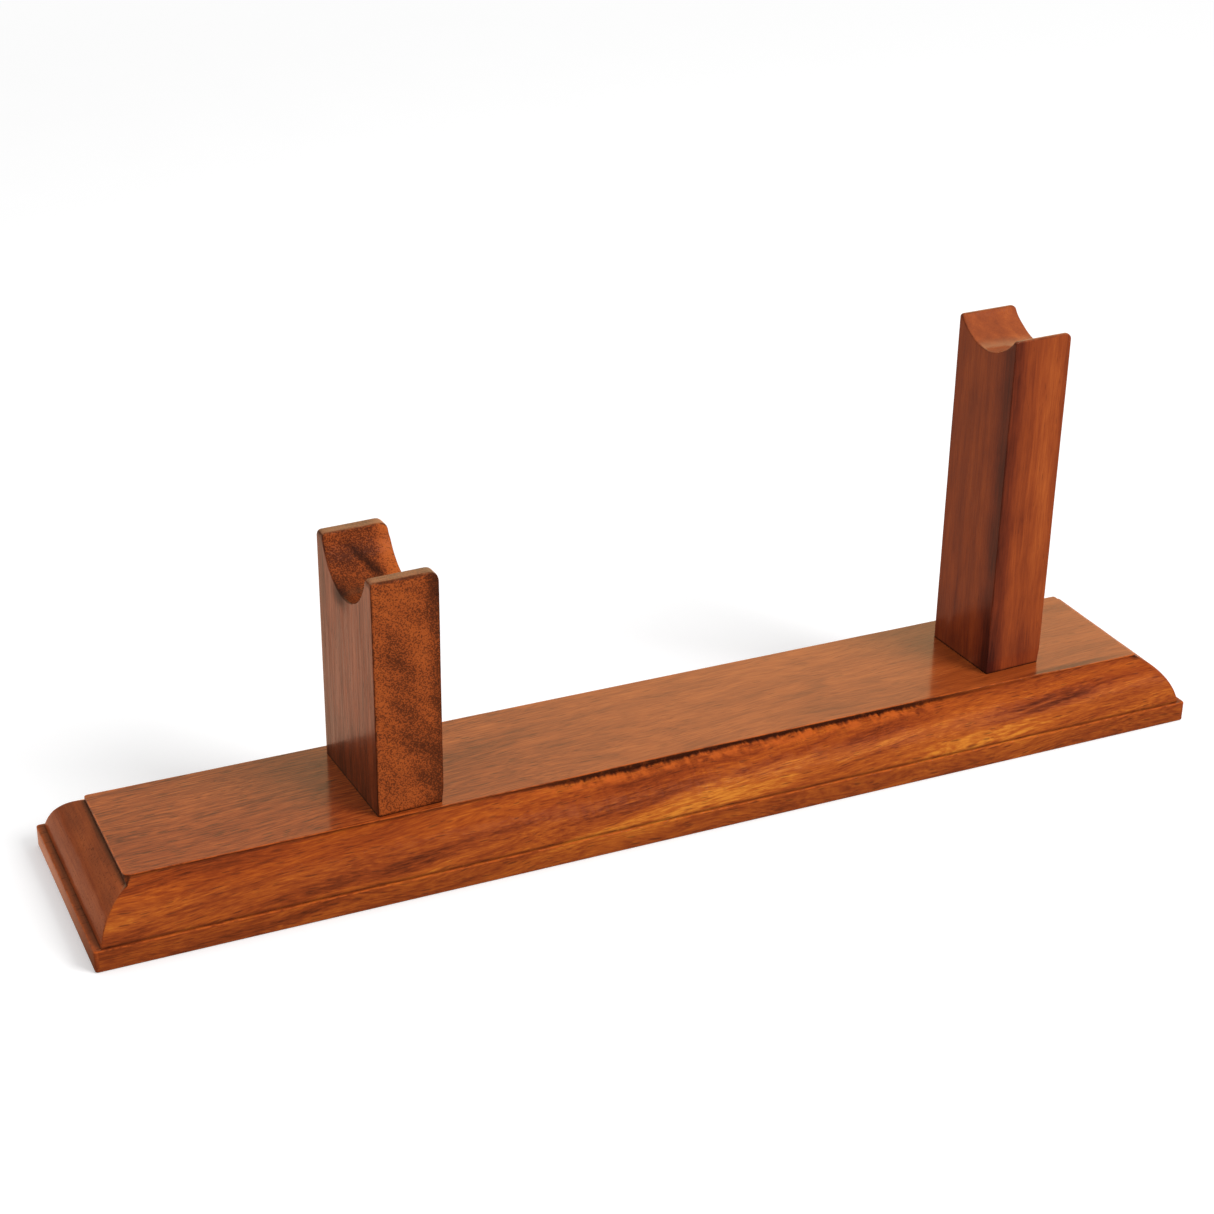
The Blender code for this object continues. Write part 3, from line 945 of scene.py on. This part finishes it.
def short_post_front(g, p):
    """Speckled end grain on the front, the back and in the saddle: its colour, and 1 on its specks."""
    x, y, z = g.split(p)
    front_y = -POSTS["short_post"].depth / MM / 2
    tilted = g.turn(p, (0, math.radians(-38), 0))
    speckle = g.noise(fibres(g, tilted, 0, 0.35, 0.46), 2.0, 0.6)
    dots = pores(g, p, 1, 0.66, 5.0, 0.42, 0.85)
    cloud = g.swing(fibres(g, tilted, 0, 4.5, 13.0), 0.22, 3.0, 0.6)
    front_face = g.ease(y, front_y + 12, front_y + 6)
    edge = g.times(front_face, g.ease(x, 4.5, POST_WIDTH / 2 / MM, 0.0, 0.28))
    corner_dark = g.times(front_face, g.ease(x, 1, 8), g.ease(z, 50, 64), 0.35)
    inside = g.ease(y, 18.6, 17.6)
    # Painted light across the saddle: darker on its left, lighter towards its lit right edge
    saddle_painted_light = g.times(g.ease(z, 54, 56), g.ease(y, -14, -12), inside, g.ease(x, 3.5, 7.5, 0.22, -0.25))
    across = g.math("ABSOLUTE", g.add(x, g.times(z, 0.22), -6.8))
    figure = g.times(front_face, g.ease(across, 6.5, 1.0), g.ease(z, 54, 44), 0.2)
    tone = g.add(0.38, cloud, edge, corner_dark, saddle_painted_light, figure)
    cover = g.ease(tone, 0.1, 0.9, 0.40, 0.58)
    speck = g.ease(g.math("SUBTRACT", cover, speckle), -0.04, 0.05)
    speck = g.math("MAXIMUM", g.times(speck, 0.8), g.times(dots, g.ease(tone, 0.1, 0.8, 0.35, 1.0)))
    colour = g.mix(g.times(speck, 0.85), g.ramp(tone, *END_GRAIN_TONES), END_GRAIN_SPECK)

    wobble = g.swing(evenly(g, p, 2.5), 0.9, 3.0, 0.6)
    streak = g.ease(g.math("ABSOLUTE", g.add(x, g.times(z, 0.85), -52.0, wobble)), 2.6, 0.1)
    streak = g.times(streak, g.ease(y, 4, 8), inside, g.ease(z, 66.5, 62.5))
    return g.mix(g.times(streak, 0.8), colour, SADDLE_STREAK), speck


def short_post_flank(g, p, grain, fine):
    """Dark upright fibres on the left and right faces: their colour, and 1 in their pores."""
    y, z = g.split(p)[1:]
    bands = g.swing(fibres(g, grain, 2, 3.2, 60.0), 0.3)
    foot = g.ease(z, 30, 4, 0.0, 0.16)
    back_edge = g.ease(y, 12, 17.5, 0.0, 0.25)
    tone = g.add(0.42, bands, g.times(g.add(fine, -0.5), 1.7), back_edge, foot)
    dash = pores(g, grain, 2, 0.6, 6.0, 0.28, 0.7)
    return g.mix(g.times(dash, 0.5), g.ramp(tone, *FLANK_TONES), FLANK_PORE), dash


def short_post_material():
    """End grain on the front, back and saddle, upright fibres on the sides, a smudge and a painted sheen on
    the prong tops.
    """
    g = material_graph("short_post_wood")
    post = POSTS["short_post"]
    height = (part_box("short_post")[1].z - TOP) / MM
    p = post_coordinates(g, "short_post")
    z = g.split(p)[2]
    side = sideways(g)
    grain = wandering(g, p, 2, 1.2)
    fine = g.noise(fibres(g, grain, 2, 0.34, 12.0), 3.0, 0.6)
    front, speck = short_post_front(g, p)
    flank, dash = short_post_flank(g, p, grain, fine)
    colour = g.mix(side, front, flank)
    smudge_place = (-POST_WIDTH / 2 / MM, 3.5, height - post.saddle / MM - 0.6)
    smudge = patch(g, p, smudge_place, (4.0, 8.0, 5.5))
    colour = g.mix(g.times(smudge, 0.95), colour, SMUDGE)
    # Painted sheen: the upward-facing prong tops are paler
    prong = g.times(facing_up(g, 0.6, 0.9), g.ease(z, height - 2.2, height - 0.8))
    streaky = g.noise(fibres(g, p, 0, 0.5, 6.0), 3.0, 0.6)
    pale = g.mix(g.ease(streaky, 0.3, 0.7), *PRONG_SHEEN_TONES)
    colour = g.mix(g.times(prong, 0.6), colour, pale)
    pore = g.times(g.choose(side, speck, dash), 0.6)
    sheen = g.ease(g.noise(fibres(g, grain, 2, 0.9, 24.0), 3.0, 0.6), 0.3, 0.7, 0.26, 0.54)
    # The arris tint darkens the rounded arrises
    look = lacquer(
        coat=g.times(g.choose(side, 0.9, sheen), g.math("SUBTRACT", 1.0, g.times(smudge, 0.8))),
        coat_rough=g.choose(side, 0.16, 0.2), rub=0.75,
        rub_colour=SHORT_ARRIS_TINT, bump=0.35,
    )
    # Painted shade: darker along the foot, where the post meets the plateau
    return lacquered(g, colour, pore, fine, p, g.ease(z, 0.9, 0.1), look)


def tall_post_material():
    """Upright fibres with a dark band down the front left arris and a golden band near the right."""
    g = material_graph("tall_post_wood")
    p = post_coordinates(g, "tall_post")
    x, y, z = g.split(p)
    side = sideways(g)
    grain = wandering(g, p, 2, 1.2)
    fine = g.noise(fibres(g, grain, 2, 0.42, 9.0), 3.0, 0.6)
    bands = g.swing(fibres(g, grain, 2, 3.0, 60.0), 0.2, 2.0)
    cloud = g.swing(fibres(g, grain, 2, 5.0, 12.0), 0.12, 3.0)
    half = POST_WIDTH / 2 / MM
    from_arris = g.add(x, half, g.math("ABSOLUTE", g.add(y, POSTS["tall_post"].depth / 2 / MM)))
    reach = g.choose(side, 6.5, 8.5)
    arris_dark = g.ease(g.math("DIVIDE", g.add(from_arris, g.times(bands, 8.0)), reach), 1.0, 0.0)
    foot = g.ease(z, 24, 1)
    shade = g.times(arris_dark, g.add(0.44, g.times(foot, 0.06)))
    gold = g.ease(g.math("ABSOLUTE", g.add(x, -4.6)), 4.2, 0.4)
    gold = g.times(gold, g.math("SUBTRACT", 1.0, side), g.ease(z, 8, 60), -0.14)
    tone = g.add(0.47, bands, cloud, g.times(g.add(fine, -0.5), 0.5), shade, gold, g.times(foot, 0.12))
    colour = g.ramp(tone, *TALL_TONES)
    dash = pores(g, grain, 2, 0.6, 7.0, 0.25, 0.5)
    colour = g.mix(g.times(dash, 0.3), colour, TALL_PORE)
    # Painted sheen: upward-facing surfaces, the saddle and prong tops, are paler
    colour = g.mix(g.times(facing_up(g, 0.25, 0.75), 0.3), colour, TALL_TOP_SHEEN)
    # The arris tint darkens the rounded arrises
    look = lacquer(
        coat=g.choose(side, 0.9, 0.25), coat_rough=g.choose(side, 0.13, 0.22), rub=0.5,
        rub_colour=TALL_ARRIS_TINT,
    )
    # Painted shade: darker along the foot, where the post meets the plateau
    return lacquered(g, colour, g.times(dash, 0.6), fine, p, g.ease(z, 0.8, 0.1), look)


def steel_material():
    """Zinc-plated screws, a little dulled, with fine turning marks."""
    g = material_graph("zinc_plated_steel")
    p = millimetres(g)
    blotch = g.noise(evenly(g, p, 1.2), 3.0, 0.6)
    scratch = g.noise(fibres(g, p, 2, 0.25, 2.0), 3.0)
    colour = g.mix(g.ease(blotch, 0.35, 0.7), *ZINC_TONES)
    relief = {"Height": scratch, "Strength": 0.3, "Distance": 0.02 * MM}
    inputs = {
        "Base Color": colour,
        "Metallic": 1.0,
        "Normal": g.node("ShaderNodeBump", relief).outputs[0],
        "Roughness": g.add(0.24, g.times(scratch, 0.2)),
    }
    return g.finish(g.node("ShaderNodeBsdfPrincipled", inputs).outputs[0])


def paint(obj, material):
    obj.data.materials.clear()
    obj.data.materials.append(material)


# ---------------------------------------------------------------- stage


FLOOR_HALF = 12.0
FLOOR_GAP = 0.05 * MM
# In millimetres, as the shader counts: the size of the mottling, the distance over which the floor fades to
# white, and the strip along Y in which its reflection turns from dim to bright.
FLOOR_MOTTLE = 50.0
FLOOR_FADE_START = 500.0
FLOOR_FADE_END = 1500.0
FLOOR_BEHIND_START = -40.0
FLOOR_BEHIND_END = 30.0
FLOOR_BOUNCE = 0.45
FLOOR_LIFT = 0.28
AMBIENT = 0.62
REFLECTED_FRONT = (0.22, 0.12, 0.06, 1)
REFLECTED_BEHIND = (1.7, 1.0, 0.66, 1)
REFLECTED_BACKDROP = (0.86, 0.72, 0.42, 1)
REFLECTED_WINDOW = (1.14, 0.98, 0.54, 1)
REFLECTED_ROOM = (0.14, 0.09, 0.06, 1)


def grey(level):
    return level, level, level, 1


def build_floor():
    """A pale matt floor. The lacquer's reflections see it warm: dim in front of the stand, bright behind."""
    corners = [(-FLOOR_HALF, -FLOOR_HALF), (FLOOR_HALF, -FLOOR_HALF)]
    corners += [(FLOOR_HALF, FLOOR_HALF), (-FLOOR_HALF, FLOOR_HALF)]
    floor = add_mesh("floor", [(x, y, 0) for x, y in corners], [(0, 1, 2, 3)])
    floor.location.z = -FLOOR_GAP
    g = material_graph("pale_floor")
    rays = g.node("ShaderNodeLightPath").outputs
    mottle = g.noise(evenly(g, millimetres(g), FLOOR_MOTTLE), 3.0)
    pale = g.mix(mottle, grey(0.90), grey(0.88))
    colour = g.mix(rays["Is Glossy Ray"], grey(FLOOR_BOUNCE), grey(0.0))
    far = g.ease(g.length(millimetres(g)), FLOOR_FADE_START, FLOOR_FADE_END)
    colour = g.mix(rays["Is Camera Ray"], colour, g.mix(far, pale, grey(0.0)))
    matt = g.node("ShaderNodeBsdfDiffuse", {"Color": colour}).outputs[0]
    behind = g.ease(g.split(millimetres(g))[1], FLOOR_BEHIND_START, FLOOR_BEHIND_END)
    reflected = g.mix(behind, REFLECTED_FRONT, REFLECTED_BEHIND)
    glow = g.mix(rays["Is Camera Ray"], reflected, g.mix(far, grey(FLOOR_LIFT), grey(1.0)))
    seen = g.math("MAXIMUM", rays["Is Camera Ray"], rays["Is Glossy Ray"])
    glow = g.node("ShaderNodeEmission", {"Color": glow, "Strength": seen}).outputs[0]
    paint(floor, g.finish(g.node("ShaderNodeAddShader", {0: matt, 1: glow}).outputs[0]))


def area_light(name, place, target, size, power):
    data = bpy.data.lights.new(name, "AREA")
    data.shape = "RECTANGLE"
    data.size, data.size_y = size
    data.energy = power
    light = bpy.data.objects.new(name, data)
    light.location = place
    direction = Vector(target) - Vector(place)
    light.rotation_euler = direction.to_track_quat("-Z", "Y").to_euler()
    light.visible_glossy = False
    bpy.context.scene.collection.objects.link(light)


def build_world():
    """White backdrop. Reflections see it bright behind the stand, and the rest of the room dim."""
    g = Graph(bpy.data.worlds.new("studio"))
    rays = g.node("ShaderNodeLightPath").outputs
    x, y, z = g.split(g.node("ShaderNodeTexCoord").outputs["Generated"])
    window = g.times(g.ease(y, 0.2, 0.7), g.ease(z, 0.0, 0.3), g.ease(z, 0.8, 0.6))
    backdrop = g.mix(g.ease(x, 0.15, 0.4), REFLECTED_BACKDROP, REFLECTED_WINDOW)
    glossy = g.mix(window, REFLECTED_ROOM, backdrop)
    colour = g.mix(rays["Is Glossy Ray"], grey(AMBIENT), glossy)
    colour = g.mix(rays["Is Camera Ray"], colour, grey(1.0))
    background = g.node("ShaderNodeBackground", {"Color": colour, "Strength": 1.0}).outputs[0]
    bpy.context.scene.world = g.finish(background, "ShaderNodeOutputWorld")


KEY_PLACE = (0.75, -0.95, 1.0)
KEY_TARGET = (0, 0, 0.03)
KEY_SIZE = (0.7, 0.7)
KEY_WATTS = 16.0

SENSOR_WIDTH = 36.0
CAMERA_LENS = 70.59
CAMERA_PLACE = (-255.1 * MM, -530.7 * MM, 347.2 * MM)
CAMERA_YAW = math.radians(-24.71)
CAMERA_PITCH = math.radians(26.41)
CAMERA_ROLL = math.radians(0.74)


def build_camera():
    data = bpy.data.cameras.new("camera")
    data.sensor_width = SENSOR_WIDTH
    data.lens = CAMERA_LENS
    data.clip_start = 0.01
    camera = bpy.data.objects.new("camera", data)
    turn = (
        Matrix.Rotation(CAMERA_YAW, 4, "Z")
        @ Matrix.Rotation(math.pi / 2 - CAMERA_PITCH, 4, "X")
        @ Matrix.Rotation(CAMERA_ROLL, 4, "Z")
    )
    camera.matrix_world = Matrix.Translation(CAMERA_PLACE) @ turn
    bpy.context.scene.collection.objects.link(camera)
    bpy.context.scene.camera = camera


# ---------------------------------------------------------------- putting it together


MATERIALS = {"short_post": short_post_material, "tall_post": tall_post_material}

plinth = build_plinth()
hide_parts("plinth")
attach(plinth, "root")
paint(plinth, plinth_material())
for post_name, material in MATERIALS.items():
    post = build_post(post_name)
    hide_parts(post_name)
    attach(post, "root")
    paint(post, material())
steel = steel_material()
for node_name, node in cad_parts.items():
    if node_name.endswith("_screw"):
        paint(node, steel)
build_floor()
build_world()
area_light("key", KEY_PLACE, KEY_TARGET, KEY_SIZE, KEY_WATTS)
build_camera()
bpy.context.scene.view_settings.view_transform = "Standard"
